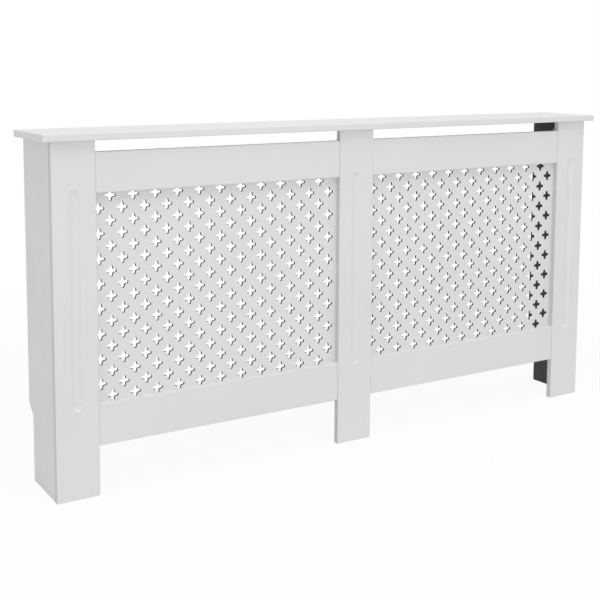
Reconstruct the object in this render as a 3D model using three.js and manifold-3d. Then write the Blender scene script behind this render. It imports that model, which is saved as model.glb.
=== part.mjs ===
// Radiator cover cabinet, in millimetres with +Z up. The front faces -Y and the wall is at +Y.
// A shelf board lies on two side panels and a front frame: three fluted pilasters joined by four rails,
// with a pierced grille sheet screwed behind each bay. The frame is dowelled, and cam locks pull
// the knock-down joints shut. The back and the floor side stay open for the radiator and its pipes.
import * as THREE from "three";
import { mergeVertices } from "three/addons/utils/BufferGeometryUtils.js";
import Module from "manifold-3d";

const wasm = await Module();
wasm.setup();

// ---------------------------------------------------------------- driving dimensions

const HEIGHT = 820;
const SHELF = { length: 1640, depth: 200, thickness: 16, sideOverhang: 22, frontOverhang: 15, ease: 2 };
const BOARD = 15;
const EDGE_EASE = 2;

const PILASTER_WIDTH = 102;
const FLUTE = { width: 24, depth: 4, overrun: 10 };

// The bays of the front frame, read down from the shelf.
const AIR_SLOT = 26;
const UPPER_RAIL = 91;
const GRILLE_OPENING = 475;
const LOWER_RAIL = 97;
const RAIL_SETBACK = 1;

const SKIRTING_NOTCH = { depth: 28, height: 157, slantTop: 181 };

const GRILLE = { thickness: 4, overlap: 30, pitchX: 55.4, pitchZ: 57, firstRow: 11, columnShift: -6 };
const HOLE = { tipRadius: 13.3, waistRadius: 6.6 };

// Hardware. A piece in a bore has this much room around it.
const CLEARANCE = 0.3;
const DOWEL = { radius: 4, length: 30, edgeInset: 24 };
const CENTRE_DOWEL = { spacing: 50, depthInShelf: 10 };
const CAM = { radius: 7.5, depth: 12, setback: 34, pocketRadius: 3.7, pocketBeyond: 4.5 };
const BOLT = {
  threadRadius: 2.5,
  threadLength: 10,
  shankRadius: 3.2,
  length: 37,
  neckRadius: 1.8,
  neckStart: 29,
  neckLength: 4,
};
const BOLT_BORE_RADIUS = 4;
const SHELF_CAM_OFFSETS = [40, 102];
const FRAME_CAM_HEIGHTS = [110, 640];
const SCREW = { headRadius: 3.6, headHeight: 1.6, shankRadius: 1.6, shankLength: 13 };
const GRILLE_SCREW_INSET = 14;
const BRACKET = {
  leg: 32,
  width: 22,
  thickness: 2,
  bendRadius: 3,
  holeRadius: 2.4,
  holeAlong: 20,
  belowShelf: 89,
};

const FACETS = { bore: 8, dowel: 8, cam: 14, bolt: 8, screw: 6, flute: 28, fluteEnd: 4 };

// ---------------------------------------------------------------- derived planes

const shelfUnderside = HEIGHT - SHELF.thickness;
const upperRailTop = shelfUnderside - AIR_SLOT;
const openingTop = upperRailTop - UPPER_RAIL;
const openingBottom = openingTop - GRILLE_OPENING;
const lowerRailBottom = openingBottom - LOWER_RAIL;

const wallPlane = SHELF.depth / 2;
const frontPlane = -wallPlane + SHELF.frontOverhang;
const frameBack = frontPlane + BOARD;
const railFront = frontPlane + RAIL_SETBACK;
const railMiddle = (railFront + frameBack) / 2;
const halfBody = SHELF.length / 2 - SHELF.sideOverhang;
const halfPilaster = PILASTER_WIDTH / 2;
const pilasterCentres = { left: -halfBody + halfPilaster, centre: 0, right: halfBody - halfPilaster };
const bays = {
  left: { from: pilasterCentres.left + halfPilaster, to: pilasterCentres.centre - halfPilaster },
  right: { from: pilasterCentres.centre + halfPilaster, to: pilasterCentres.right - halfPilaster },
};
const sideMiddle = halfBody - BOARD / 2;
const SIDES = { left: -1, right: 1 };

// ---------------------------------------------------------------- materials

function finish(name, color, roughness, metalness) {
  return new THREE.MeshStandardMaterial({ name, color, roughness, metalness });
}

const paint = finish("white_paint", 0xf0f2f3, 0.42, 0);
const beech = finish("beech_dowel", 0xc9a878, 0.7, 0);
const zinc = finish("zinc_hardware", 0xb9bcc0, 0.38, 0.9);

// ---------------------------------------------------------------- solids

// A closed three.js geometry becomes a manifold solid once its shared vertices are merged.
function solidFrom(geometry) {
  geometry.deleteAttribute("normal");
  geometry.deleteAttribute("uv");
  const merged = mergeVertices(geometry, 1e-4);
  const vertProperties = new Float32Array(merged.attributes.position.array);
  const triVerts = new Uint32Array(merged.index.array);
  return new wasm.Manifold(new wasm.Mesh({ numProp: 3, vertProperties, triVerts }));
}

function geometryFrom(solid) {
  const mesh = solid.getMesh();
  const geometry = new THREE.BufferGeometry();
  geometry.setAttribute("position", new THREE.BufferAttribute(new Float32Array(mesh.vertProperties), 3));
  geometry.setIndex(new THREE.BufferAttribute(new Uint32Array(mesh.triVerts), 1));
  geometry.computeVertexNormals();
  return geometry;
}

// Extrudes a shape along one axis. The shape is drawn in (y, z) for x, in (x, z) for y and in (x, y) for z.
function extrude(axis, shape, from, to) {
  const options = { depth: to - from, bevelEnabled: false, curveSegments: 1 };
  const geometry = new THREE.ExtrudeGeometry(shape, options);
  const X = new THREE.Vector3(1, 0, 0);
  const Y = new THREE.Vector3(0, 1, 0);
  const Z = new THREE.Vector3(0, 0, 1);
  const basis = new THREE.Matrix4();
  if (axis === "x") {
    basis.makeBasis(Y, Z, X).setPosition(from, 0, 0);
  } else if (axis === "y") {
    basis.makeBasis(X, Z, Y.negate()).setPosition(0, to, 0);
  } else {
    basis.makeBasis(X, Y, Z).setPosition(0, 0, from);
  }
  return solidFrom(geometry.applyMatrix4(basis));
}

// A rectangle whose two corners on the low-v side are eased.
function easedRectangle(u0, v0, u1, v1, ease) {
  const shape = new THREE.Shape();
  shape.moveTo(u0 + ease, v0);
  shape.lineTo(u1 - ease, v0);
  shape.absarc(u1 - ease, v0 + ease, ease, -Math.PI / 2, 0);
  shape.lineTo(u1, v1);
  shape.lineTo(u0, v1);
  shape.lineTo(u0, v0 + ease);
  shape.absarc(u0 + ease, v0 + ease, ease, Math.PI, 1.5 * Math.PI);
  return shape;
}

// Turns a geometry whose own axis is +Y so that it runs along a direction, from a start point.
function along(geometry, start, direction) {
  const turn = new THREE.Quaternion().setFromUnitVectors(new THREE.Vector3(0, 1, 0), direction);
  return geometry.applyQuaternion(turn).translate(start.x, start.y, start.z);
}

// A round bore cutter between two points.
function bore(radius, start, end, facets = FACETS.bore) {
  const direction = end.clone().sub(start);
  const length = direction.length();
  const cylinder = new THREE.CylinderGeometry(radius, radius, length, facets);
  cylinder.translate(0, length / 2, 0);
  return solidFrom(along(cylinder, start, direction.normalize()));
}

function cut(body, cutters) {
  return cutters.reduce((rest, cutter) => rest.subtract(cutter), body);
}

const point = (x, y, z) => new THREE.Vector3(x, y, z);

// ---------------------------------------------------------------- where the hardware goes

const BREAKTHROUGH = 1;
const dowelBoreRadius = DOWEL.radius + CLEARANCE;
const dowelReach = DOWEL.length / 2 + CLEARANCE;

// Two dowels cross each rail end, one near each edge of the rail.
const railSpans = {
  upper_rail: { bottom: openingTop, top: upperRailTop },
  lower_rail: { bottom: lowerRailBottom, top: openingBottom },
};
const railDowels = Object.entries(railSpans).flatMap(([rail, span]) =>
  Object.entries(bays).flatMap(([bay, { from, to }]) =>
    [from, to].flatMap((x, end) =>
      [span.bottom + DOWEL.edgeInset, span.top - DOWEL.edgeInset].map((z, row) => ({
        name: `dowel_${rail}_${bay}_${end + 1}${"ab"[row]}`,
        joint: point(x, railMiddle, z),
      })),
    ),
  ),
);
const centreDowels = [-CENTRE_DOWEL.spacing / 2, CENTRE_DOWEL.spacing / 2].map((x, index) => ({
  name: `dowel_shelf_${index + 1}`,
  x,
}));

// A cam lock sits in a side panel's inner face, and its bolt runs into the panel's edge from the joint.
const camLocks = Object.entries(SIDES).flatMap(([side, sign]) => [
  ...SHELF_CAM_OFFSETS.map((offset, index) => ({
    name: `shelf_${side}_${index + 1}`,
    sign,
    joint: point(sign * sideMiddle, frontPlane + offset, shelfUnderside),
    inward: point(0, 0, -1),
  })),
  ...FRAME_CAM_HEIGHTS.map((height, index) => ({
    name: `frame_${side}_${index + 1}`,
    sign,
    joint: point(sign * sideMiddle, frameBack, height),
    inward: point(0, 1, 0),
  })),
]);
for (const lock of camLocks) {
  lock.centre = lock.joint.clone().addScaledVector(lock.inward, CAM.setback);
  lock.faceX = lock.sign * (halfBody - BOARD);
}

// The grille screws go through the sheet's corners, clear of its holes, into the pilasters behind the bays.
const grilleScrews = Object.entries(bays).flatMap(([bay, { from, to }]) =>
  [from - GRILLE_SCREW_INSET, to + GRILLE_SCREW_INSET].flatMap((x, end) =>
    [openingBottom + GRILLE.overlap, openingTop - GRILLE.overlap].map((z, row) => ({
      name: `grille_screw_${bay}_${end + 1}${"ab"[row]}`,
      head: point(x, frameBack + GRILLE.thickness, z),
    })),
  ),
);

// A wall bracket stands in the corner between each side panel and the wall. A place in it is given by the
// distance from the panel's inner face and the distance from the wall.
const bracketHeight = shelfUnderside - BRACKET.belowShelf;
const bracketPoint = (sign, fromPanel, fromWall) =>
  point(sign * (halfBody - BOARD - fromPanel), wallPlane - fromWall, bracketHeight);

// ---------------------------------------------------------------- boards

function topShelf() {
  const ease = SHELF.ease;
  const plan = new THREE.Shape();
  const halfLength = SHELF.length / 2;
  plan.moveTo(-halfLength, -wallPlane);
  plan.lineTo(halfLength, -wallPlane);
  plan.lineTo(halfLength, wallPlane);
  plan.lineTo(-halfLength, wallPlane);
  const board = new THREE.ExtrudeGeometry(plan, {
    depth: SHELF.thickness - 2 * ease,
    bevelThickness: ease,
    bevelSize: ease,
    bevelOffset: -ease,
    bevelSegments: 2,
  });
  board.translate(0, 0, shelfUnderside + ease);
  const threadBore = BOLT.threadRadius + CLEARANCE;
  const upBores = camLocks
    .filter((lock) => lock.inward.z !== 0)
    .map(({ joint }) => bore(threadBore, joint.clone().setZ(joint.z - BREAKTHROUGH),
      joint.clone().setZ(joint.z + BOLT.threadLength + CLEARANCE)));
  const dowelBores = centreDowels.map(({ x }) => bore(dowelBoreRadius,
    point(x, railMiddle, shelfUnderside - BREAKTHROUGH),
    point(x, railMiddle, shelfUnderside + CENTRE_DOWEL.depthInShelf + CLEARANCE)));
  return cut(solidFrom(board), [...upBores, ...dowelBores]);
}

// The back edge is cut away at the floor, with a slanted top, to clear the skirting board.
function sidePanel(sign) {
  const outline = new THREE.Shape();
  const notchFront = wallPlane - SKIRTING_NOTCH.depth;
  outline.moveTo(frameBack, 0);
  outline.lineTo(notchFront, 0);
  outline.lineTo(notchFront, SKIRTING_NOTCH.height);
  outline.lineTo(wallPlane, SKIRTING_NOTCH.slantTop);
  outline.lineTo(wallPlane, shelfUnderside);
  outline.lineTo(frameBack, shelfUnderside);
  const outerFace = sign * halfBody;
  const innerFace = sign * (halfBody - BOARD);
  const board = extrude("x", outline, Math.min(outerFace, innerFace), Math.max(outerFace, innerFace));
  const locks = camLocks.filter((lock) => lock.sign === sign);
  const camBores = locks.map(({ centre }) => bore(CAM.radius + CLEARANCE,
    centre.clone().setX(innerFace - sign * BREAKTHROUGH),
    centre.clone().setX(innerFace + sign * (CAM.depth + CLEARANCE)), FACETS.cam));
  const boltBores = locks.map(({ joint, inward, centre }) => bore(BOLT_BORE_RADIUS,
    joint.clone().addScaledVector(inward, -BREAKTHROUGH), centre));
  const screwEnd = BRACKET.thickness - SCREW.shankLength - CLEARANCE;
  const screwBore = bore(SCREW.shankRadius + CLEARANCE,
    bracketPoint(sign, BREAKTHROUGH, BRACKET.holeAlong),
    bracketPoint(sign, screwEnd, BRACKET.holeAlong), FACETS.screw);
  return cut(board, [...camBores, ...boltBores, screwBore]);
}

// A ball-nosed cutter leaves the flute: a shallow cove with a round end above and below the grille opening.
function fluteCutter(x) {
  const radius = (FLUTE.width ** 2 / 4 + FLUTE.depth ** 2) / (2 * FLUTE.depth);
  const endInset = FLUTE.width / 2;
  const bottom = openingBottom - FLUTE.overrun + endInset;
  const top = openingTop + FLUTE.overrun - endInset;
  const profile = [];
  for (let step = 0; step <= FACETS.fluteEnd; step += 1) {
    const angle = (step / FACETS.fluteEnd - 1) * (Math.PI / 2);
    profile.push(new THREE.Vector2(radius * Math.cos(angle), bottom + radius * Math.sin(angle)));
  }
  for (let step = 0; step <= FACETS.fluteEnd; step += 1) {
    const angle = (step / FACETS.fluteEnd) * (Math.PI / 2);
    profile.push(new THREE.Vector2(radius * Math.cos(angle), top + radius * Math.sin(angle)));
  }
  profile[0].x = 0;
  profile[profile.length - 1].x = 0;
  const capsule = new THREE.LatheGeometry(profile, FACETS.flute);
  capsule.rotateX(Math.PI / 2);
  return solidFrom(capsule.translate(x, frontPlane + FLUTE.depth - radius, 0));
}

function pilaster(centre) {
  const left = centre - halfPilaster;
  const right = centre + halfPilaster;
  const plan = easedRectangle(left, frontPlane, right, frameBack, EDGE_EASE);
  const near = ({ x }) => Math.abs(x - centre) <= halfPilaster;
  const dowelBores = railDowels
    .filter(({ joint }) => near(joint))
    .map(({ joint }) => {
      const inward = Math.sign(centre - joint.x);
      return bore(dowelBoreRadius, joint.clone().setX(joint.x - inward * BREAKTHROUGH),
        joint.clone().setX(joint.x + inward * dowelReach));
    });
  const boltBores = camLocks
    .filter(({ joint, inward }) => near(joint) && inward.y !== 0)
    .map(({ joint }) => bore(BOLT.threadRadius + CLEARANCE, joint.clone().setY(joint.y + BREAKTHROUGH),
      joint.clone().setY(joint.y - BOLT.threadLength - CLEARANCE)));
  const screwBores = grilleScrews
    .filter(({ head }) => near(head))
    .map(({ head }) => bore(SCREW.shankRadius + CLEARANCE, head,
      head.clone().setY(head.y - SCREW.shankLength - CLEARANCE), FACETS.screw));
  const topBores = centreDowels
    .filter(() => centre === pilasterCentres.centre)
    .map(({ x }) => bore(dowelBoreRadius, point(x, railMiddle, shelfUnderside + BREAKTHROUGH),
      point(x, railMiddle, shelfUnderside + CENTRE_DOWEL.depthInShelf - DOWEL.length - CLEARANCE)));
  return cut(extrude("z", plan, 0, shelfUnderside),
    [fluteCutter(centre), ...dowelBores, ...boltBores, ...screwBores, ...topBores]);
}

function rail(bay, span) {
  const section = new THREE.Shape();
  section.moveTo(frameBack, span.top);
  section.lineTo(railFront + EDGE_EASE, span.top);
  section.absarc(railFront + EDGE_EASE, span.top - EDGE_EASE, EDGE_EASE, Math.PI / 2, Math.PI);
  section.absarc(railFront + EDGE_EASE, span.bottom + EDGE_EASE, EDGE_EASE, Math.PI, 1.5 * Math.PI);
  section.lineTo(frameBack, span.bottom);
  const middle = (bay.from + bay.to) / 2;
  const dowelBores = railDowels
    .filter(({ joint }) => joint.x >= bay.from && joint.x <= bay.to)
    .filter(({ joint }) => joint.z > span.bottom && joint.z < span.top)
    .map(({ joint }) => {
      const inward = Math.sign(middle - joint.x);
      return bore(dowelBoreRadius, joint.clone().setX(joint.x - inward * BREAKTHROUGH),
        joint.clone().setX(joint.x + inward * dowelReach));
    });
  return cut(extrude("x", section, bay.from, bay.to), dowelBores);
}

// ---------------------------------------------------------------- the pierced grille

// One hole is a four-lobed cross, drawn as its four tips and the four waists between them.
function crossHole(x, z) {
  const hole = new THREE.Path();
  for (let corner = 0; corner < 8; corner += 1) {
    const radius = corner % 2 === 0 ? HOLE.tipRadius : HOLE.waistRadius;
    const angle = (-corner * Math.PI) / 4;
    const at = [x + radius * Math.cos(angle), z + radius * Math.sin(angle)];
    if (corner === 0) {
      hole.moveTo(...at);
    } else {
      hole.lineTo(...at);
    }
  }
  hole.closePath();
  return hole;
}

// The holes stand on a lattice with a hole in the middle of each square: the even steps from the middle
// column hold the even rows, and the odd steps the odd rows. As many are made as the opening shows whole
// or in part.
function grilleSheet(bay) {
  const sheet = new THREE.Shape();
  const low = openingBottom - GRILLE.overlap;
  const high = openingTop + GRILLE.overlap;
  sheet.moveTo(bay.from - GRILLE.overlap, low);
  sheet.lineTo(bay.to + GRILLE.overlap, low);
  sheet.lineTo(bay.to + GRILLE.overlap, high);
  sheet.lineTo(bay.from - GRILLE.overlap, high);
  const middleX = (bay.from + bay.to) / 2 + GRILLE.columnShift;
  const room = (bay.to - bay.from) / 2 - Math.abs(GRILLE.columnShift);
  const reach = Math.floor(room / (GRILLE.pitchX / 2));
  const lastRow = Math.floor((GRILLE_OPENING - GRILLE.firstRow) / (GRILLE.pitchZ / 2));
  for (let step = -reach; step <= reach; step += 1) {
    for (let row = Math.abs(step) % 2; row <= lastRow; row += 2) {
      const x = middleX + (step * GRILLE.pitchX) / 2;
      const z = openingBottom + GRILLE.firstRow + (row * GRILLE.pitchZ) / 2;
      sheet.holes.push(crossHole(x, z));
    }
  }
  const board = extrude("y", sheet, frameBack, frameBack + GRILLE.thickness);
  const screwBores = grilleScrews
    .filter(({ head }) => head.x > bay.from - GRILLE.overlap && head.x < bay.to + GRILLE.overlap)
    .map(({ head }) => bore(SCREW.shankRadius + CLEARANCE, head.clone().setY(head.y + BREAKTHROUGH),
      head.clone().setY(frameBack - BREAKTHROUGH), FACETS.screw));
  return cut(board, screwBores);
}

// ---------------------------------------------------------------- hardware

function lathe(points, facets) {
  return new THREE.LatheGeometry(points.map(([r, y]) => new THREE.Vector2(r, y)), facets);
}

function dowel(start, direction) {
  const pin = new THREE.CylinderGeometry(DOWEL.radius, DOWEL.radius, DOWEL.length, FACETS.dowel);
  return solidFrom(along(pin.translate(0, DOWEL.length / 2, 0), start, direction));
}

// The bolt's thread is in the joined board, and its necked head reaches into the cam.
function camBolt({ joint, inward }) {
  const neckEnd = BOLT.neckStart + BOLT.neckLength;
  const bolt = lathe([
    [0, -BOLT.threadLength],
    [BOLT.threadRadius, -BOLT.threadLength],
    [BOLT.threadRadius, 0],
    [BOLT.shankRadius, 0],
    [BOLT.shankRadius, BOLT.neckStart],
    [BOLT.neckRadius, BOLT.neckStart],
    [BOLT.neckRadius, neckEnd],
    [BOLT.shankRadius, neckEnd],
    [BOLT.shankRadius, BOLT.length],
    [0, BOLT.length],
  ], FACETS.bolt);
  return solidFrom(along(bolt, joint, inward));
}

function camDisc({ centre, joint, inward, sign, faceX }) {
  const face = centre.clone().setX(faceX);
  const disc = bore(CAM.radius, face, centre.clone().setX(faceX + sign * CAM.depth), FACETS.cam);
  const pocketEnd = centre.clone().addScaledVector(inward, CAM.pocketBeyond);
  return disc.subtract(bore(CAM.pocketRadius, joint, pocketEnd));
}

// A pan-head screw whose head rests on a surface at start and whose shank runs along direction.
function screw(start, direction) {
  const body = lathe([
    [0, -SCREW.headHeight],
    [SCREW.headRadius, -SCREW.headHeight],
    [SCREW.headRadius, 0],
    [SCREW.shankRadius, 0],
    [SCREW.shankRadius, SCREW.shankLength],
    [0, SCREW.shankLength],
  ], FACETS.screw);
  return solidFrom(along(body, start, direction));
}

// A bent steel strap. One leg is screwed to the side panel, and the other takes the wall screw.
function wallBracket(sign) {
  const { leg, thickness, bendRadius, holeAlong, holeRadius } = BRACKET;
  const outerBend = bendRadius + thickness;
  const corners = [
    [0, leg],
    [0, outerBend],
    [outerBend, 0],
    [leg, 0],
    [leg, thickness],
    [outerBend, thickness],
    [thickness, outerBend],
    [thickness, leg],
  ];
  const section = new THREE.Shape(corners.map(([fromPanel, fromWall]) => {
    const { x, y } = bracketPoint(sign, fromPanel, fromWall);
    return new THREE.Vector2(x, y);
  }));
  const bottom = bracketHeight - BRACKET.width / 2;
  return cut(extrude("z", section, bottom, bottom + BRACKET.width), [
    bore(holeRadius, bracketPoint(sign, -BREAKTHROUGH, holeAlong), bracketPoint(sign, leg / 2, holeAlong)),
    bore(holeRadius, bracketPoint(sign, holeAlong, -BREAKTHROUGH), bracketPoint(sign, holeAlong, leg / 2)),
  ]);
}

// ---------------------------------------------------------------- assembly

const cabinet = new THREE.Group();

function add(name, solid, material) {
  const mesh = new THREE.Mesh(geometryFrom(solid), material);
  mesh.name = name;
  cabinet.add(mesh);
}

add("top_shelf", topShelf(), paint);
for (const [side, sign] of Object.entries(SIDES)) {
  add(`side_panel_${side}`, sidePanel(sign), paint);
}
for (const [place, centre] of Object.entries(pilasterCentres)) {
  add(`pilaster_${place}`, pilaster(centre), paint);
}
for (const [bayName, bay] of Object.entries(bays)) {
  for (const [railName, span] of Object.entries(railSpans)) {
    add(`${railName}_${bayName}`, rail(bay, span), paint);
  }
  add(`grille_${bayName}`, grilleSheet(bay), paint);
}
for (const { name, joint } of railDowels) {
  add(name, dowel(joint.clone().setX(joint.x - DOWEL.length / 2), point(1, 0, 0)), beech);
}
for (const { name, x } of centreDowels) {
  const foot = point(x, railMiddle, shelfUnderside + CENTRE_DOWEL.depthInShelf - DOWEL.length);
  add(name, dowel(foot, point(0, 0, 1)), beech);
}
for (const lock of camLocks) {
  add(`cam_${lock.name}`, camDisc(lock), zinc);
  add(`cam_bolt_${lock.name}`, camBolt(lock), zinc);
}
for (const { name, head } of grilleScrews) {
  add(name, screw(head, point(0, -1, 0)), zinc);
}
for (const [side, sign] of Object.entries(SIDES)) {
  const head = bracketPoint(sign, BRACKET.thickness, BRACKET.holeAlong);
  add(`wall_bracket_${side}`, wallBracket(sign), zinc);
  add(`bracket_screw_${side}`, screw(head, point(sign, 0, 0)), zinc);
}

export default cabinet;
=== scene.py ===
# %% [markdown]
# # A radiator cover cabinet, dressed and photographed
#
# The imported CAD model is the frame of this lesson. It gives every board, dowel and lock its real
# place, in metres, with the room in front at -Y and the wall behind at +Y. Most of what a camera
# sees here is flat, white and softly lit, so the picture is made by small things: eased edges that
# catch the light, the coves cut in the pilasters, the dark walls of the grille holes and a paint
# that is not quite even.

# %% Load the frame
import math

import bmesh
import bpy
from mathutils import Matrix, Vector


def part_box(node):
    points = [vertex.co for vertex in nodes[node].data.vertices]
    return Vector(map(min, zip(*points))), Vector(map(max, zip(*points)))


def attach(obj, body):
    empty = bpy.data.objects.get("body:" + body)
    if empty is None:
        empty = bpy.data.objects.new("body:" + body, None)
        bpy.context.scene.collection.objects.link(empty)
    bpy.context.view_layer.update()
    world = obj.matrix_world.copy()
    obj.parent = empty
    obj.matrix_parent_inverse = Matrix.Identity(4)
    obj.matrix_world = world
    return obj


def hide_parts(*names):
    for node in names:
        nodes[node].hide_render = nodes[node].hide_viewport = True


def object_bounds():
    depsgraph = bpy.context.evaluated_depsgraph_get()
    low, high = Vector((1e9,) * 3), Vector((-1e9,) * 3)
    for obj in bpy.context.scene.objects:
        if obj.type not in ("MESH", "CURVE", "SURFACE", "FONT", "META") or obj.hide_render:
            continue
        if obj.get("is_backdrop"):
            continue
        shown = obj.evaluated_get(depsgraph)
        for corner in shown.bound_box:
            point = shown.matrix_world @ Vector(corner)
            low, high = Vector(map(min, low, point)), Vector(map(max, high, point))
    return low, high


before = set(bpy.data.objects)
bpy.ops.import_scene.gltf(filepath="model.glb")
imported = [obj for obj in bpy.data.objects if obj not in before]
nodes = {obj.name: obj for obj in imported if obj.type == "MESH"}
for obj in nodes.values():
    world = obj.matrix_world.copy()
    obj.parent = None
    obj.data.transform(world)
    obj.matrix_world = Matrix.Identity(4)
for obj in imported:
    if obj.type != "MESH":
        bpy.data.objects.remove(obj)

scene = bpy.context.scene
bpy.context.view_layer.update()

# %% [markdown]
# ## The camera
#
# The photograph was taken from the left, a little above the shelf, with a nearly level camera: the
# upright edges stay upright while the rails run together towards the right. A level camera that is
# framed downwards has its lens shifted, and here the shift keeps the uprights straight. Direction,
# distance and lens were fitted to the cabinet's edges. The centre of the lens is given as a place
# in the picture, from its top left.

# %% Place the camera
MM = 0.001
PHOTO_SIZE = 600
LENS_CENTRE = Vector((264.0, 176.0))
FOCAL_LENGTH_PX = 1066.85
CAMERA_PLACE = Vector((-1.548, -2.269, 0.980))
CAMERA_YAW = math.radians(30.33)
CAMERA_PITCH = math.radians(6.27)
CAMERA_ROLL = math.radians(0.07)


def camera_turn(yaw, pitch, roll):
    """The turn of a camera that looks along +Y: yaw to the right, pitch down, then roll."""
    level = Matrix.Rotation(math.pi / 2, 4, "X")
    tilted = Matrix.Rotation(-yaw, 4, "Z") @ Matrix.Rotation(-pitch, 4, "X") @ level
    return tilted @ Matrix.Rotation(roll, 4, "Z")


camera_data = bpy.data.cameras.new("photograph")
camera_data.sensor_width = 36.0
camera_data.lens = camera_data.sensor_width * FOCAL_LENGTH_PX / PHOTO_SIZE
camera_data.shift_x = 0.5 - LENS_CENTRE.x / PHOTO_SIZE
camera_data.shift_y = LENS_CENTRE.y / PHOTO_SIZE - 0.5
camera = bpy.data.objects.new("photograph", camera_data)
turn = camera_turn(CAMERA_YAW, CAMERA_PITCH, CAMERA_ROLL)
camera.matrix_world = Matrix.Translation(CAMERA_PLACE) @ turn
scene.collection.objects.link(camera)
scene.camera = camera
print("lens", round(camera_data.lens, 1), "mm, shift", round(camera_data.shift_x, 3),
      round(camera_data.shift_y, 3))

# %% [markdown]
# ## Where the boards are
#
# The planes that several pieces share are read off the CAD nodes, so that nothing has to be fitted
# by hand: the back of the frame, the inner faces of the side panels, and for each bay the opening
# that the grille shows through.

# %% Read the planes
FRAME_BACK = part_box("pilaster_centre")[1].y
SIDE_INNER_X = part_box("side_panel_right")[0].x


def bay_opening(bay):
    """Left, right, bottom and top of the opening that one grille sheet shows through."""
    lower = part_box(f"lower_rail_{bay}")
    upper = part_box(f"upper_rail_{bay}")
    return lower[0].x, lower[1].x, lower[1].z, upper[0].z


for bay in ("left", "right"):
    print(bay, "opening in mm:", [round(edge / MM) for edge in bay_opening(bay)])

# %% [markdown]
# ## Materials
#
# Every finish is a small node tree on Object coordinates, so that a pattern stays put on its
# piece. A tree is easier to read when the nodes are made by one helper: it makes a node, sets its
# inputs by name, and links any input that is given as another node's output. A finish adds the
# layers that several materials share. The floor and the sky use the same helper at the end.

# %% Helpers for node trees
class NodeTree:
    """The node tree of a material or a world, whose nodes are added one at a time."""

    def __init__(self, owner):
        owner.use_nodes = True
        self.tree = owner.node_tree

    def add(self, kind, inputs=None, **settings):
        node = self.tree.nodes.new(kind)
        for key, value in settings.items():
            setattr(node, key, value)
        for key, value in (inputs or {}).items():
            self.feed(node.inputs[key], value)
        return node

    def feed(self, socket, value):
        if isinstance(value, bpy.types.NodeSocket):
            self.tree.links.new(value, socket)
        else:
            socket.default_value = value

    def combine(self, operation, first, second):
        node = self.add("ShaderNodeMath", {0: first, 1: second}, operation=operation)
        return node.outputs["Value"]


class Finish(NodeTree):
    """A material whose patterns read Object coordinates."""

    def __init__(self, name):
        self.material = bpy.data.materials.new(name)
        super().__init__(self.material)
        self.shader = self.tree.nodes["Principled BSDF"]
        self.place = self.add("ShaderNodeTexCoord").outputs["Object"]

    def surface(self, **inputs):
        for key, value in inputs.items():
            self.feed(self.shader.inputs[key.replace("_", " ")], value)
        return self.material

    def noise(self, scale, detail=2.0, roughness=0.5, vector=None):
        settings = {"Vector": vector or self.place, "Scale": scale, "Detail": detail,
                    "Roughness": roughness}
        return self.add("ShaderNodeTexNoise", settings).outputs["Fac"]

    def ramp(self, value, low, high, low_at=0.3, high_at=0.7):
        """A colour between two ends, by a value."""
        node = self.add("ShaderNodeValToRGB", {"Fac": value})
        node.color_ramp.elements[0].position = low_at
        node.color_ramp.elements[1].position = high_at
        node.color_ramp.elements[0].color = (*low, 1.0)
        node.color_ramp.elements[1].color = (*high, 1.0)
        return node.outputs["Color"]

    def spread(self, value, low, high):
        """A number between two ends, by a value that stays near its middle, as noise does."""
        limits = {"Value": value, "From Min": 0.3, "From Max": 0.7, "To Min": low, "To Max": high}
        return self.add("ShaderNodeMapRange", limits).outputs["Result"]

    def bump(self, height, distance, strength=1.0, under=None):
        node = self.add("ShaderNodeBump", {"Height": height, "Distance": distance,
                                           "Strength": strength})
        if under is not None:
            self.feed(node.inputs["Normal"], under)
        return node.outputs["Normal"]


# %% [markdown]
# ### Satin paint
#
# The boards are fibreboard, sprayed with a satin white that leans slightly cool. Sprayed paint is
# nearly even, so its pattern is faint: broad clouds of one or two per cent in tone, a roughness
# that drifts, and a fine orange-peel skin about a millimetre across. The skin is a bump, because
# it is far too shallow to change the shape. The narrow sides of the pilasters are sawn edges, a
# little rougher than the faces. They get the same layers with the colour turned down as painted
# shade, for the recesses they face.

# %% Make the paint
PAINT_TONES = ((0.775, 0.785, 0.79), (0.80, 0.808, 0.812))
PEEL_PER_METRE = 700.0
# Painted shade: the paint on the pilasters' narrow sides is turned down to this share, for the
# recesses they face.
PILASTER_SIDE_SHADE_TONE = 0.84
PILASTER_SIDE_ROUGHER = 0.12


def paint_layers(finish):
    """The colour, roughness and skin of the sprayed paint."""
    clouds = finish.noise(scale=4.0, detail=3.0)
    colour = finish.ramp(clouds, *PAINT_TONES)
    drift = finish.noise(scale=22.0, detail=4.0, roughness=0.6)
    roughness = finish.spread(drift, 0.40, 0.52)
    peel = finish.noise(scale=PEEL_PER_METRE, detail=1.5)
    waves = finish.noise(scale=60.0, detail=2.0)
    skin = finish.bump(peel, distance=0.00006, under=finish.bump(waves, distance=0.0001))
    return colour, roughness, skin


def satin_paint():
    finish = Finish("satin white paint")
    colour, roughness, skin = paint_layers(finish)
    return finish.surface(Base_Color=colour, Roughness=roughness, Normal=skin,
                          Specular_IOR_Level=0.4)


def shaded_side_paint():
    finish = Finish("paint with painted shade on pilaster sides")
    colour, roughness, skin = paint_layers(finish)
    # Painted shade: the colour is turned down for the shade on the pilaster sides.
    shaded_colour = finish.add("ShaderNodeHueSaturation", {"Value": PILASTER_SIDE_SHADE_TONE, "Color": colour})
    rougher = finish.combine("ADD", roughness, PILASTER_SIDE_ROUGHER)
    return finish.surface(Base_Color=shaded_colour.outputs["Color"], Roughness=rougher, Normal=skin,
                          Specular_IOR_Level=0.3)


paint = satin_paint()
side_paint_with_shade = shaded_side_paint()
print("made", paint.name, "and", side_paint_with_shade.name)

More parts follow.
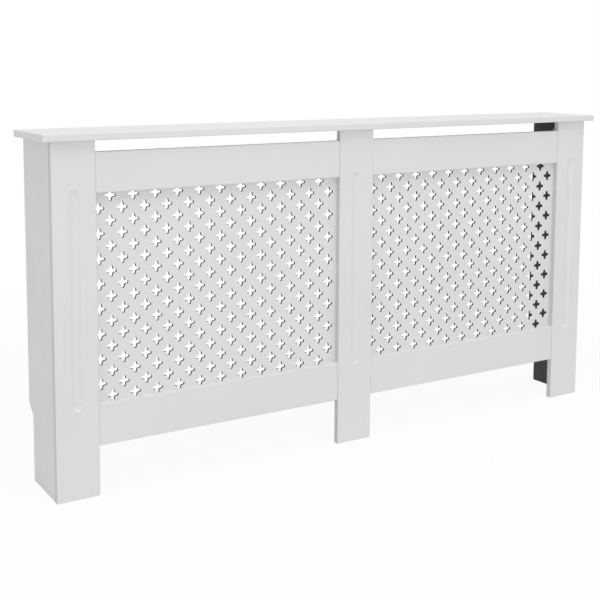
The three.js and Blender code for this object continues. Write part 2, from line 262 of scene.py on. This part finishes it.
# %% [markdown]
# ### The unpainted side
#
# The faces that look at the radiator are left as they come, a dark grey board face with short
# pressed fibres. The walls of the grille holes show the board's core, which is nearly black, and
# that is what makes the pattern read. A board with two finishes could mix them in one tree with a
# mask. Here it simply gets a material slot for each, because its faces are either one or the
# other.

# %% Make the dark board face and the core
FACE_TONES = ((0.092, 0.094, 0.095), (0.122, 0.124, 0.126))
CORE_TONES = ((0.014, 0.014, 0.014), (0.026, 0.026, 0.026))


def fibre_layers(finish, tones):
    """The colour, roughness and bump of the pressed fibres, stretched a little along the board."""
    stretched = finish.add("ShaderNodeMapping", {"Vector": finish.place, "Scale": (1.0, 1.0, 0.25)})
    fibres = finish.noise(scale=900.0, detail=5.0, roughness=0.7,
                          vector=stretched.outputs["Vector"])
    blotches = finish.noise(scale=9.0, detail=3.0)
    both = finish.combine("MULTIPLY", fibres, blotches)
    colour = finish.ramp(finish.combine("MULTIPLY", both, 2.0), *tones)
    roughness = finish.spread(blotches, 0.70, 0.85)
    skin = finish.bump(fibres, distance=0.00008)
    return colour, roughness, skin


def dark_board(name, tones, shine):
    finish = Finish(name)
    colour, roughness, skin = fibre_layers(finish, tones)
    return finish.surface(Base_Color=colour, Roughness=roughness, Normal=skin,
                          Specular_IOR_Level=shine)


bare_board = dark_board("dark board face", FACE_TONES, shine=0.3)
board_core = dark_board("board core", CORE_TONES, shine=0.1)
print("made", bare_board.name, "and", board_core.name)

# %% [markdown]
# ### Beech and zinc
#
# The dowels are turned beech, pale with short darker flecks along the grain. The hardware is zinc
# plated steel: a bright, slightly blue metal whose crystals make the roughness patchy.

# %% Make the dowel and hardware finishes
def beech():
    finish = Finish("turned beech")
    grain = finish.add("ShaderNodeMapping", {"Vector": finish.place, "Scale": (1.0, 6.0, 6.0)})
    flecks = finish.noise(scale=160.0, detail=4.0, roughness=0.6, vector=grain.outputs["Vector"])
    colour = finish.ramp(flecks, (0.42, 0.26, 0.13), (0.60, 0.42, 0.24))
    skin = finish.bump(flecks, distance=0.0001)
    roughness = finish.spread(flecks, 0.55, 0.7)
    return finish.surface(Base_Color=colour, Roughness=roughness, Normal=skin)


def zinc():
    finish = Finish("zinc plate")
    cells = finish.add("ShaderNodeTexVoronoi", {"Vector": finish.place, "Scale": 420.0})
    crystals = cells.outputs["Distance"]
    haze = finish.noise(scale=120.0, detail=4.0)
    colour = finish.ramp(haze, (0.56, 0.58, 0.61), (0.68, 0.69, 0.71))
    skin = finish.bump(crystals, distance=0.00003)
    roughness = finish.spread(crystals, 0.28, 0.42)
    return finish.surface(Base_Color=colour, Roughness=roughness, Normal=skin, Metallic=1.0)


def shaded_zinc_casting():
    """The cam locks are cast, so they are duller than the plated steel; their darker tone is
    painted shade.
    """
    finish = Finish("zinc casting with painted shade")
    grit = finish.noise(scale=900.0, detail=3.0)
    haze = finish.noise(scale=150.0, detail=3.0)
    # Painted shade: these tones are kept dark for the shade in the bores the locks sit in.
    colour = finish.ramp(haze, (0.20, 0.205, 0.215), (0.29, 0.295, 0.305))
    skin = finish.bump(grit, distance=0.00004)
    roughness = finish.spread(grit, 0.45, 0.6)
    return finish.surface(Base_Color=colour, Roughness=roughness, Normal=skin, Metallic=0.9)


wood = beech()
metal = zinc()
casting = shaded_zinc_casting()
print("made", wood.name, metal.name, "and", casting.name)

# %% [markdown]
# ## Boards with eased edges
#
# A cabinet maker runs a small rounding cutter along every edge that a hand can reach. Seen from
# across a room each rounding is a thin line of light, and a box without it looks like paper. A
# board is a cube that is scaled to its CAD node's box, with chosen edges bevelled. Smooth shading
# would bend the light over the whole flat face, so a Weighted Normal modifier gives the large
# faces the say over their corners.
#
# Faces and edges are picked by where their middle lies, to within a hair. Each piece has up to
# three materials: paint, the bare board, and one more, such as the board's core.

# %% Helpers for pieces
ROUND_SEGMENTS = 5
CREASE_ANGLE = math.radians(30)
HAIR = 0.1 * MM
BARE = 1
THIRD = 2


def start_piece(name, shape, materials):
    """A new object in the scene from a bmesh, with its materials."""
    mesh = bpy.data.meshes.new(name)
    shape.to_mesh(mesh)
    shape.free()
    for material in materials:
        mesh.materials.append(material)
    piece = bpy.data.objects.new(name, mesh)
    scene.collection.objects.link(piece)
    return piece


def finish_piece(piece, node_name):
    """Shades a piece, and puts it in the place of its CAD node."""
    piece.data.shade_smooth()
    piece.data.set_sharp_from_angle(angle=CREASE_ANGLE)
    weighted = piece.modifiers.new("Flat faces lead", "WEIGHTED_NORMAL")
    weighted.keep_sharp = True
    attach(piece, "root")
    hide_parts(node_name)


def board_shape(low, high):
    shape = bmesh.new()
    bmesh.ops.create_cube(shape, size=1.0)
    bmesh.ops.scale(shape, vec=high - low, verts=shape.verts)
    bmesh.ops.translate(shape, vec=(low + high) / 2, verts=shape.verts)
    return shape


def everywhere(middle):
    return True


def ease(shape, radius, wanted=everywhere):
    """Rounds the sharp edges whose middle passes the test."""
    sharp = [edge for edge in shape.edges if edge.calc_face_angle(0) > CREASE_ANGLE]
    edges = [edge for edge in sharp if wanted((edge.verts[0].co + edge.verts[1].co) / 2)]
    bmesh.ops.bevel(shape, geom=edges, offset=radius, offset_type="OFFSET", affect="EDGES",
                    segments=ROUND_SEGMENTS, profile=0.5, material=-1)


def give(shape, slot, wanted):
    """Gives a material slot to the faces whose middle passes the test."""
    for face in shape.faces:
        if wanted(face.calc_center_median()):
            face.material_index = slot


def all_parts(shape):
    return shape.verts[:] + shape.edges[:] + shape.faces[:]


def only_verts(parts):
    return [part for part in parts if isinstance(part, bmesh.types.BMVert)]


def carve(piece, cutter_shape):
    """Cuts a closed bmesh out of a piece."""
    bmesh.ops.recalc_face_normals(cutter_shape, faces=cutter_shape.faces)
    cutter = start_piece("cutter", cutter_shape, piece.data.materials)
    cut = piece.modifiers.new("Cut", "BOOLEAN")
    cut.operation = "DIFFERENCE"
    cut.solver = "EXACT"
    cut.object = cutter
    evaluated = piece.evaluated_get(bpy.context.evaluated_depsgraph_get())
    carved = bpy.data.meshes.new_from_object(evaluated)
    piece.modifiers.remove(cut)
    piece.data = carved
    bpy.data.objects.remove(cutter)
    return piece


# %% [markdown]
# ### The shelf
#
# The shelf is the one board whose edges are eased all round, because it overhangs the front and
# both ends. The rounding there is what separates the bright top from the grey front edge. Its
# underside is painted only where it overhangs. Three bisecting planes part the underside along
# that line, so that the middle can be left bare.

# %% Make the shelf
SHELF_EASE = 2.0 * MM


def make_shelf():
    low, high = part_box("top_shelf")
    shape = board_shape(low, high)
    for place, direction in (((-SIDE_INNER_X, 0, 0), (1, 0, 0)), ((SIDE_INNER_X, 0, 0), (1, 0, 0)),
                             ((0, FRAME_BACK, 0), (0, 1, 0))):
        bmesh.ops.bisect_plane(shape, geom=all_parts(shape), plane_co=place, plane_no=direction)
    give(shape, BARE, lambda middle: middle.z < low.z + HAIR and abs(middle.x) < SIDE_INNER_X
         and middle.y > FRAME_BACK)
    ease(shape, SHELF_EASE)
    return start_piece("shelf_board", shape, [paint, bare_board])


shelf = make_shelf()
finish_piece(shelf, "top_shelf")
print("shelf faces:", len(shelf.data.polygons))

# %% [markdown]
# ### The rails
#
# The rails lie a millimetre behind the pilasters, so each joint shows as a fine step. Their front
# edges are eased, and where a rounded end meets a rounded pilaster edge, the joint is a thin dark
# groove. The back is left dark.

# %% Make the rails
FRAME_EASE = 2.0 * MM


def make_rail(node_name):
    low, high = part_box(node_name)
    shape = board_shape(low, high)
    give(shape, BARE, lambda middle: middle.y > high.y - HAIR)
    ease(shape, FRAME_EASE, lambda middle: middle.y < low.y + HAIR)
    return start_piece(f"{node_name}_board", shape, [paint, bare_board])


for bay in ("left", "right"):
    for level in ("upper_rail", "lower_rail"):
        node_name = f"{level}_{bay}"
        finish_piece(make_rail(node_name), node_name)
print("rails made")

# %% [markdown]
# ### The fluted pilasters
#
# Each pilaster carries one flute, a shallow cove with round ends that is run with a ball-nosed
# cutter. The cutter's path is a capsule: two domes bridged by a tube. A sphere is bisected for the
# dome, the dome is mirrored, and the two rims are bridged. Only a sliver of that capsule enters
# the board.

# %% Make the pilasters
FLUTE_WIDTH = 24.0 * MM
FLUTE_DEPTH = 4.0 * MM
FLUTE_OVERRUN = 10.0 * MM
FLUTE_FACETS = 160


def capsule(radius, bottom, top, centre_x, centre_y):
    """Two half spheres with a tube between them, upright, closed."""
    shape = bmesh.new()
    bmesh.ops.create_uvsphere(shape, u_segments=FLUTE_FACETS, v_segments=FLUTE_FACETS // 2,
                              radius=radius)
    bmesh.ops.bisect_plane(shape, geom=all_parts(shape), plane_co=(0, 0, 0), plane_no=(0, 0, 1),
                           clear_inner=True)
    upper = shape.verts[:]
    lower = only_verts(bmesh.ops.duplicate(shape, geom=all_parts(shape))["geom"])
    bmesh.ops.scale(shape, vec=(1, 1, -1), verts=lower)
    bmesh.ops.translate(shape, vec=(0, 0, top), verts=upper)
    bmesh.ops.translate(shape, vec=(0, 0, bottom), verts=lower)
    open_rims = [edge for edge in shape.edges if edge.is_boundary]
    bmesh.ops.bridge_loops(shape, edges=open_rims)
    bmesh.ops.translate(shape, vec=(centre_x, centre_y, 0), verts=shape.verts)
    return shape


def make_pilaster(node_name):
    low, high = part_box(node_name)
    shape = board_shape(low, high)
    give(shape, BARE, lambda middle: middle.y > high.y - HAIR)
    # The narrow sides take the paint that carries painted shade.
    give(shape, THIRD, lambda middle: not low.x + HAIR < middle.x < high.x - HAIR)
    half_height = (low.z + high.z) / 2
    ease(shape, FRAME_EASE,
         lambda middle: middle.y < low.y + HAIR and abs(middle.z - half_height) < HAIR)
    board = start_piece(f"{node_name}_board", shape, [paint, bare_board, side_paint_with_shade])
    radius = (FLUTE_WIDTH ** 2 / 4 + FLUTE_DEPTH ** 2) / (2 * FLUTE_DEPTH)
    _, _, bottom, top = bay_opening("left")
    end_inset = FLUTE_WIDTH / 2 - FLUTE_OVERRUN
    flute = capsule(radius, bottom + end_inset, top - end_inset, (low.x + high.x) / 2,
                    low.y + FLUTE_DEPTH - radius)
    return carve(board, flute)


for place in ("left", "centre", "right"):
    pilaster = make_pilaster(f"pilaster_{place}")
    finish_piece(pilaster, f"pilaster_{place}")
    print("pilaster", place, "faces:", len(pilaster.data.polygons))

# %% [markdown]
# ## The pierced grille
#
# A grille sheet is a thin board punched with rows of small crosses, and every cross has four round
# lobes joined by soft inner corners. One cross is drawn as a square whose four sides are pulled
# out into arms and drawn in a little at their ends. Its corners are then bevelled: the outer ones
# so far that each arm ends in a half circle, the inner ones just enough to soften them. The
# outline is inset, the inner copy of it is pushed back, and the front is closed: that is a punch
# that narrows towards the back, so the walls of the holes lean a little towards the viewer, as on
# a cut board. The punch is copied over the lattice and all the copies are cut out at once. It
# carries the dark core, so the walls come out dark, as on the real sheet.

# %% Make the punch
CROSS_REACH = 13.4 * MM
ARM_HALF_ROOT = 4.3 * MM
ARM_TAPER = 0.86
LOBE_ROUNDING = 3.4 * MM
CORNER_ROUNDING = 3.0 * MM
OUTLINE_SEGMENTS = 3
WALL_SLOPE = 0.2
PUNCH_LENGTH_IN_SHEETS = 1.5


def cross_punch(length):
    """One four-lobed punch about the origin that runs along Y and narrows towards the back."""
    shape = bmesh.new()
    bmesh.ops.create_grid(shape, x_segments=1, y_segments=1, size=ARM_HALF_ROOT)
    for side in [edge for edge in shape.edges if edge.is_boundary]:
        outward = (side.verts[0].co + side.verts[1].co).normalized()
        tip = only_verts(bmesh.ops.extrude_edge_only(shape, edges=[side])["geom"])
        bmesh.ops.translate(shape, vec=outward * (CROSS_REACH - ARM_HALF_ROOT), verts=tip)
        tip_middle = (tip[0].co + tip[1].co) / 2
        bmesh.ops.scale(shape, vec=(ARM_TAPER,) * 3, verts=tip,
                        space=Matrix.Translation(-tip_middle))
    bmesh.ops.dissolve_faces(shape, faces=shape.faces[:])
    halfway = (CROSS_REACH + ARM_HALF_ROOT) / 2
    tips = [vert for vert in shape.verts if vert.co.length > halfway]
    corners = [vert for vert in shape.verts if vert.co.length <= halfway]
    for group, offset in ((tips, LOBE_ROUNDING), (corners, CORNER_ROUNDING)):
        bmesh.ops.bevel(shape, geom=group, offset=offset, offset_type="OFFSET", affect="VERTICES",
                        segments=OUTLINE_SEGMENTS, profile=0.5, material=-1)
    back = shape.faces[:]
    bmesh.ops.inset_region(shape, faces=back, thickness=length * WALL_SLOPE, use_even_offset=True,
                           use_boundary=True)
    bmesh.ops.translate(shape, vec=(0, 0, -length), verts=back[0].verts)
    bmesh.ops.edgeloop_fill(shape, edges=[edge for edge in shape.edges if edge.is_boundary])
    bmesh.ops.rotate(shape, cent=(0, 0, 0), matrix=Matrix.Rotation(math.pi / 2, 3, "X"),
                     verts=shape.verts)
    bmesh.ops.translate(shape, vec=(0, -length / 2, 0), verts=shape.verts)
    return shape


# %% [markdown]
# The holes stand on a lattice with one more hole in the middle of every square, so the odd columns
# start half a row higher. The lattice is measured from the opening: the lowest row is just above
# the lower rail, and the middle column is a little left of the middle.

# %% Punch the grilles
PITCH_X = 55.4 * MM
PITCH_Z = 57.0 * MM
FIRST_ROW_RISE = 11.0 * MM
COLUMN_SHIFT = -6.0 * MM


def lattice(left, right, bottom, top):
    """The centres of the holes in one opening."""
    reach = int(((right - left) / 2 - abs(COLUMN_SHIFT)) / (PITCH_X / 2))
    rows = int((top - bottom - FIRST_ROW_RISE) / (PITCH_Z / 2)) + 1
    middle = (left + right) / 2 + COLUMN_SHIFT
    return [Vector((middle + step * PITCH_X / 2, 0, bottom + FIRST_ROW_RISE + row * PITCH_Z / 2))
            for step in range(-reach, reach + 1)
            for row in range(abs(step) % 2, rows, 2)]


def make_grille(bay):
    node_name = f"grille_{bay}"
    low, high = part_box(node_name)
    sheet = board_shape(low, high)
    give(sheet, BARE, lambda middle: middle.y > low.y + HAIR)
    board = start_piece(f"{node_name}_sheet", sheet, [paint, bare_board, board_core])
    punch = cross_punch(PUNCH_LENGTH_IN_SHEETS * (high.y - low.y))
    give(punch, THIRD, everywhere)
    first = all_parts(punch)
    holes = lattice(*bay_opening(bay))
    for centre in holes:
        copy = bmesh.ops.duplicate(punch, geom=first)
        bmesh.ops.translate(punch, vec=centre + Vector((0, (low.y + high.y) / 2, 0)),
                            verts=only_verts(copy["geom"]))
    bmesh.ops.delete(punch, geom=only_verts(first), context="VERTS")
    print(node_name, "holes:", len(holes))
    return carve(board, punch)


for bay in ("left", "right"):
    grille = make_grille(bay)
    finish_piece(grille, f"grille_{bay}")
    print("grille", bay, "faces:", len(grille.data.polygons))

# %% [markdown]
# ## The side panels
#
# Each side panel is cut away at the floor behind, with a slanted top, so that it clears a skirting
# board. The cutter for that is a block whose back top edge is raised along the slant. The outer
# edges are eased after the cut, and the round bores for the locks are sunk last, so that the
# easing doesn't touch them.

# %% Helpers for round shapes
ROUND_FACETS = 40


def round_bar(radius, start, end):
    """A closed cylinder from one point to another."""
    shape = bmesh.new()
    axis = end - start
    turn = Vector((0, 0, 1)).rotation_difference(axis).to_matrix().to_4x4()
    bmesh.ops.create_cone(shape, cap_ends=True, segments=ROUND_FACETS, radius1=radius,
                          radius2=radius, depth=axis.length,
                          matrix=Matrix.Translation((start + end) / 2) @ turn)
    return shape


def turned(profile):
    """A solid turned about Z from pairs of radius and height that start and end on the axis."""
    shape = bmesh.new()
    line = [shape.verts.new((radius, 0, height)) for radius, height in profile]
    steps = [shape.edges.new(pair) for pair in zip(line, line[1:])]
    bmesh.ops.spin(shape, geom=line + steps, cent=(0, 0, 0), axis=(0, 0, 1), angle=2 * math.pi,
                   steps=ROUND_FACETS, use_merge=True)
    bmesh.ops.remove_doubles(shape, verts=shape.verts, dist=0.001 * MM)
    bmesh.ops.recalc_face_normals(shape, faces=shape.faces)
    return shape


# %% Make the side panels
NOTCH_DEPTH = 28.0 * MM
NOTCH_HEIGHT = 157.0 * MM
NOTCH_SLANT_TOP = 181.0 * MM
SIDE_EASE = 1.5 * MM
BORE_ROOM = 0.3 * MM


def notch_cutter(low, high):
    """A block that runs past the panel on its open sides, with a slanted top."""
    past = NOTCH_DEPTH
    front = high.y - NOTCH_DEPTH
    block = board_shape(Vector((low.x - past, front, low.z - past)),
                        Vector((high.x + past, high.y + past, NOTCH_HEIGHT)))
    slope = (NOTCH_SLANT_TOP - NOTCH_HEIGHT) / NOTCH_DEPTH
    back_top = [vert for vert in block.verts if vert.co.y > high.y and vert.co.z > low.z]
    bmesh.ops.translate(block, vec=(0, 0, slope * (NOTCH_DEPTH + past)), verts=back_top)
    return block


def make_side_panel(side):
    node_name = f"side_panel_{side}"
    low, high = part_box(node_name)
    inner_x, outer_x = sorted((low.x, high.x), key=abs)
    panel = carve(start_piece(f"{node_name}_board", board_shape(low, high), [paint, bare_board]),
                  notch_cutter(low, high))
    shape = bmesh.new()
    shape.from_mesh(panel.data)
    bmesh.ops.dissolve_limit(shape, angle_limit=math.radians(1), verts=shape.verts,
                             edges=shape.edges)
    give(shape, BARE, lambda middle: abs(middle.x - inner_x) < HAIR)
    ease(shape, SIDE_EASE, lambda middle: abs(middle.x - outer_x) < HAIR and middle.y > low.y + MM
         and middle.z < high.z - MM)
    shape.to_mesh(panel.data)
    shape.free()
    for name in nodes:
        if name.startswith(("cam_shelf", "cam_frame")) and side in name:
            lock_low, lock_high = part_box(name)
            centre = (lock_low + lock_high) / 2
            mouth = inner_x - math.copysign(MM, outer_x)
            bottom = max(lock_low.x, lock_high.x, key=abs) + math.copysign(BORE_ROOM, outer_x)
            radius = (lock_high.z - lock_low.z) / 2 + BORE_ROOM
            bore = round_bar(radius, Vector((mouth, centre.y, centre.z)),
                             Vector((bottom, centre.y, centre.z)))
            give(bore, BARE, everywhere)
            carve(panel, bore)
    return panel


for side in ("left", "right"):
    panel = make_side_panel(side)
    finish_piece(panel, f"side_panel_{side}")
    print("side panel", side, "faces:", len(panel.data.polygons))

# %% [markdown]
# ## Locks and screws
#
# A cam lock is a cast disc, turned a half turn with a screwdriver when the cabinet is put
# together. A pan head screw is turned from bar. Both are spun from a profile about Z, with the
# driven face up, and a cross recess is cut with two crossed bars. The pan head is drawn in shares
# of its radius and height. One of each is made, and a copy of its mesh is laid in every place,
# with the place in the mesh.

# %% Turn one lock and one screw
CAM_RADIUS = 7.5 * MM
CAM_DEPTH = 12.0 * MM
CAM_RIM = 0.5 * MM
HEAD_RADIUS = 3.6 * MM
HEAD_HEIGHT = 1.6 * MM
SHANK_RADIUS = 1.6 * MM
SHANK_LENGTH = 13.0 * MM
PAN_HEAD = ((0, 1), (0.45, 0.97), (0.75, 0.82), (0.93, 0.55), (1, 0.2), (1, 0))

cam_profile = ((0, 0), (CAM_RADIUS - CAM_RIM, 0), (CAM_RADIUS, -CAM_RIM), (CAM_RADIUS, -CAM_DEPTH),
               (0, -CAM_DEPTH))
pan_head = [(HEAD_RADIUS * out, HEAD_HEIGHT * up) for out, up in PAN_HEAD]
screw_profile = (*pan_head, (SHANK_RADIUS, 0), (SHANK_RADIUS, 2 * SHANK_RADIUS - SHANK_LENGTH),
                 (0, -SHANK_LENGTH))


def recessed(name, shape, material, top, reach, width, depth):
    """A turned piece with a cross recess in its top."""
    piece = start_piece(name, shape, [material])
    for across, along in ((reach, width), (width, reach)):
        bar = board_shape(Vector((-across, -along, top - depth)),
                          Vector((across, along, top + depth)))
        carve(piece, bar)
    master = piece.data
    bpy.data.objects.remove(piece)
    return master


cam_mesh = recessed("cam_master", turned(cam_profile), casting, top=0.0, reach=4.2 * MM,
                    width=0.8 * MM, depth=2.5 * MM)
screw_mesh = recessed("screw_master", turned(screw_profile), metal, top=HEAD_HEIGHT,
                      reach=2.1 * MM, width=0.4 * MM, depth=1.1 * MM)
print("cam faces:", len(cam_mesh.polygons), "screw faces:", len(screw_mesh.polygons))


# %% Lay them in their places
def lay(mesh, node_name, place, facing):
    """A copy of a turned piece whose top faces a direction."""
    shape = bmesh.new()
    shape.from_mesh(mesh)
    turn = Vector((0, 0, 1)).rotation_difference(Vector(facing)).to_matrix().to_4x4()
    bmesh.ops.transform(shape, matrix=Matrix.Translation(place) @ turn, verts=shape.verts)
    piece = start_piece(f"{node_name}_turned", shape, mesh.materials)
    finish_piece(piece, node_name)


laid = 0
for name in nodes:
    low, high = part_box(name)
    middle = (low + high) / 2
    inward = Vector((-math.copysign(1, middle.x), 0, 0))
    if name.startswith(("cam_shelf", "cam_frame")):
        lay(cam_mesh, name, Vector((min(low.x, high.x, key=abs), middle.y, middle.z)), inward)
    elif name.startswith("bracket_screw"):
        head_top = min(low.x, high.x, key=abs)
        lay(screw_mesh, name, Vector((head_top, middle.y, middle.z)) - inward * HEAD_HEIGHT, inward)
    elif name.startswith("grille_screw"):
        lay(screw_mesh, name, Vector((middle.x, high.y - HEAD_HEIGHT, middle.z)), (0, 1, 0))
    else:
        continue
    laid += 1
print("laid", laid, "locks and screws")

# %% [markdown]
# ### The wall brackets
#
# Two bent steel straps hold the cabinet to the wall. A strap could be swept along a bent line, but
# with a single bend it is quicker to start with one leg, pull the other out of its end face, and
# round the bend inside and outside. The holes are bored last.

# %% Bend the wall brackets
STRAP = 2.0 * MM
INNER_BEND = 3.0 * MM
STRAP_CORNER = 4.0 * MM
HOLE_RADIUS = 2.4 * MM
HOLE_ALONG = 20.0 * MM
DRILL_REACH = 10.0 * MM


def make_bracket(side):
    node_name = f"wall_bracket_{side}"
    low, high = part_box(node_name)
    free_x, panel_x = sorted((low.x, high.x), key=abs)
    toward_panel = math.copysign(1, panel_x)
    bend_x = panel_x - toward_panel * STRAP
    shape = board_shape(Vector((low.x, high.y - STRAP, low.z)), high)
    bmesh.ops.bisect_plane(shape, geom=all_parts(shape), plane_co=(bend_x, 0, 0),
                           plane_no=(1, 0, 0))
    end = [face for face in shape.faces if abs(face.calc_center_median().x - panel_x) < STRAP
           and face.calc_center_median().y < high.y - STRAP + HAIR]
    tip = only_verts(bmesh.ops.extrude_face_region(shape, geom=end)["geom"])
    bmesh.ops.delete(shape, geom=end, context="FACES_ONLY")
    bmesh.ops.translate(shape, vec=(0, low.y - (high.y - STRAP), 0), verts=tip)
    bmesh.ops.recalc_face_normals(shape, faces=shape.faces)
    height = (low.z + high.z) / 2

    def upright_at(x, y):
        return lambda middle: (middle - Vector((x, y, height))).length < HAIR

    ease(shape, INNER_BEND, upright_at(bend_x, high.y - STRAP))
    ease(shape, INNER_BEND + STRAP, upright_at(panel_x, high.y))
    ease(shape, STRAP_CORNER, lambda middle: abs(middle.z - height) > STRAP_CORNER
         and (abs(middle.x - free_x) < HAIR or abs(middle.y - low.y) < HAIR))
    strap = start_piece(f"{node_name}_strap", shape, [metal])
    on_panel = Vector((panel_x, high.y - HOLE_ALONG, height))
    on_wall = Vector((panel_x - toward_panel * HOLE_ALONG, high.y, height))
    for spot, axis in ((on_panel, Vector((1, 0, 0))), (on_wall, Vector((0, 1, 0)))):
        carve(strap, round_bar(HOLE_RADIUS, spot - axis * DRILL_REACH, spot + axis * DRILL_REACH))
    return strap


for side in ("left", "right"):
    strap = make_bracket(side)
    finish_piece(strap, f"wall_bracket_{side}")
print("bracket faces:", len(strap.data.polygons))

# %% [markdown]
# ### What stays as it is
#
# The dowels and the cam bolts sit inside the boards. Their CAD solids have the right shapes
# already, so they only get their finishes.

# %% Dress the remaining CAD nodes
dressed = 0
for start, material in (("dowel", wood), ("cam_bolt", metal)):
    for name, node in nodes.items():
        if name.startswith(start):
            node.material_slots[0].material = material
            dressed += 1
print("dressed", dressed, "dowels and cam bolts")

# %% [markdown]
# ## Floor, background and light
#
# The photograph is a catalogue picture: a white ground and soft light from everywhere, a little
# more of it from above. The floor takes the cabinet's shadow, but the camera sees mostly a plain
# white in it, mixed in by the Is Camera Ray output. The world does the same. Close to the cabinet
# a small share of the real floor is left so that the shadow shows, and farther out the share goes
# to nothing, so floor and sky meet without a line. Anything that reflects sees the same white
# ground.

# %% Make the floor and the world
FLOOR_REACH = 40.0
FLOOR_GREY = (0.86, 0.86, 0.86, 1.0)
FLOOR_WHITENESS = 0.93
SHADOW_REACH = (1.0, 2.6)
WORLD_LIGHT = 0.61


def seen_directly(node_tree):
    """1 for rays that come straight from the camera or off a mirror, 0 for light that spreads."""
    rays = node_tree.add("ShaderNodeLightPath").outputs
    mirrored = node_tree.combine("MAXIMUM", rays["Is Glossy Ray"], rays["Is Transmission Ray"])
    return node_tree.combine("MAXIMUM", rays["Is Camera Ray"], mirrored)


def floor_finish():
    """Matt grey for the light, mostly white for the camera, all white beyond the shadow."""
    finish = Finish("pale floor")
    distance = finish.add("ShaderNodeVectorMath", {0: finish.place}, operation="LENGTH")
    limits = {"Value": distance.outputs["Value"], "From Min": SHADOW_REACH[0],
              "From Max": SHADOW_REACH[1], "To Min": FLOOR_WHITENESS}
    whiteness = finish.add("ShaderNodeMapRange", limits, interpolation_type="SMOOTHSTEP")
    share = finish.combine("MULTIPLY", seen_directly(finish), whiteness.outputs["Result"])
    matt = finish.add("ShaderNodeBsdfDiffuse", {"Color": FLOOR_GREY}).outputs["BSDF"]
    glow = finish.add("ShaderNodeEmission").outputs["Emission"]
    mixed = finish.add("ShaderNodeMixShader", {0: share, 1: matt, 2: glow}).outputs["Shader"]
    finish.feed(finish.tree.nodes["Material Output"].inputs["Surface"], mixed)
    finish.tree.nodes.remove(finish.shader)
    return finish.material


def make_floor():
    shape = bmesh.new()
    bmesh.ops.create_grid(shape, x_segments=1, y_segments=1, size=FLOOR_REACH)
    return start_piece("floor", shape, [floor_finish()])


def light_the_world():
    scene.world = bpy.data.worlds.new("white room")
    sky = NodeTree(scene.world)
    limits = {"Value": seen_directly(sky), "To Min": WORLD_LIGHT, "To Max": 1.0}
    background = sky.tree.nodes["Background"]
    background.inputs["Color"].default_value = (1.0, 1.0, 1.0, 1.0)
    sky.feed(background.inputs["Strength"], sky.add("ShaderNodeMapRange", limits).outputs["Result"])


floor = make_floor()
floor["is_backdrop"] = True
light_the_world()
print("made", floor.name, "and", scene.world.name)

# %% [markdown]
# The white world lights all sides about alike. Three large soft lamps shape that: one above the
# room makes the shelf and the rails' top edges bright, one in front fills, and one on the left
# lifts the end panel.

# %% Hang the lamps
LAMP_TARGET = Vector((0.0, 0.0, 0.4))


def soft_lamp(name, place, size, power):
    data = bpy.data.lights.new(name, "AREA")
    data.shape = "SQUARE"
    data.size = size
    data.energy = power
    lamp = bpy.data.objects.new(name, data)
    aim = (LAMP_TARGET - Vector(place)).to_track_quat("-Z", "Y").to_matrix().to_4x4()
    lamp.matrix_world = Matrix.Translation(place) @ aim
    scene.collection.objects.link(lamp)


soft_lamp("above", place=(-0.3, -1.8, 5.0), size=3.0, power=81.0)
soft_lamp("front", place=(-1.0, -6.0, 2.0), size=2.5, power=36.0)
soft_lamp("left", place=(-4.5, -1.6, 1.4), size=2.0, power=6.0)
print("three soft lamps hung")

# %% [markdown]
# ## Last steps
#
# The view transform is Standard, so that a colour shows as it is written. The box of the
# dressed model is written down, and it should agree with the CAD model's.

# %% Set the view, write the sizes and finish
scene.view_settings.view_transform = "Standard"
low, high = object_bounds()
print("visual box in metres:", tuple(low), tuple(high))
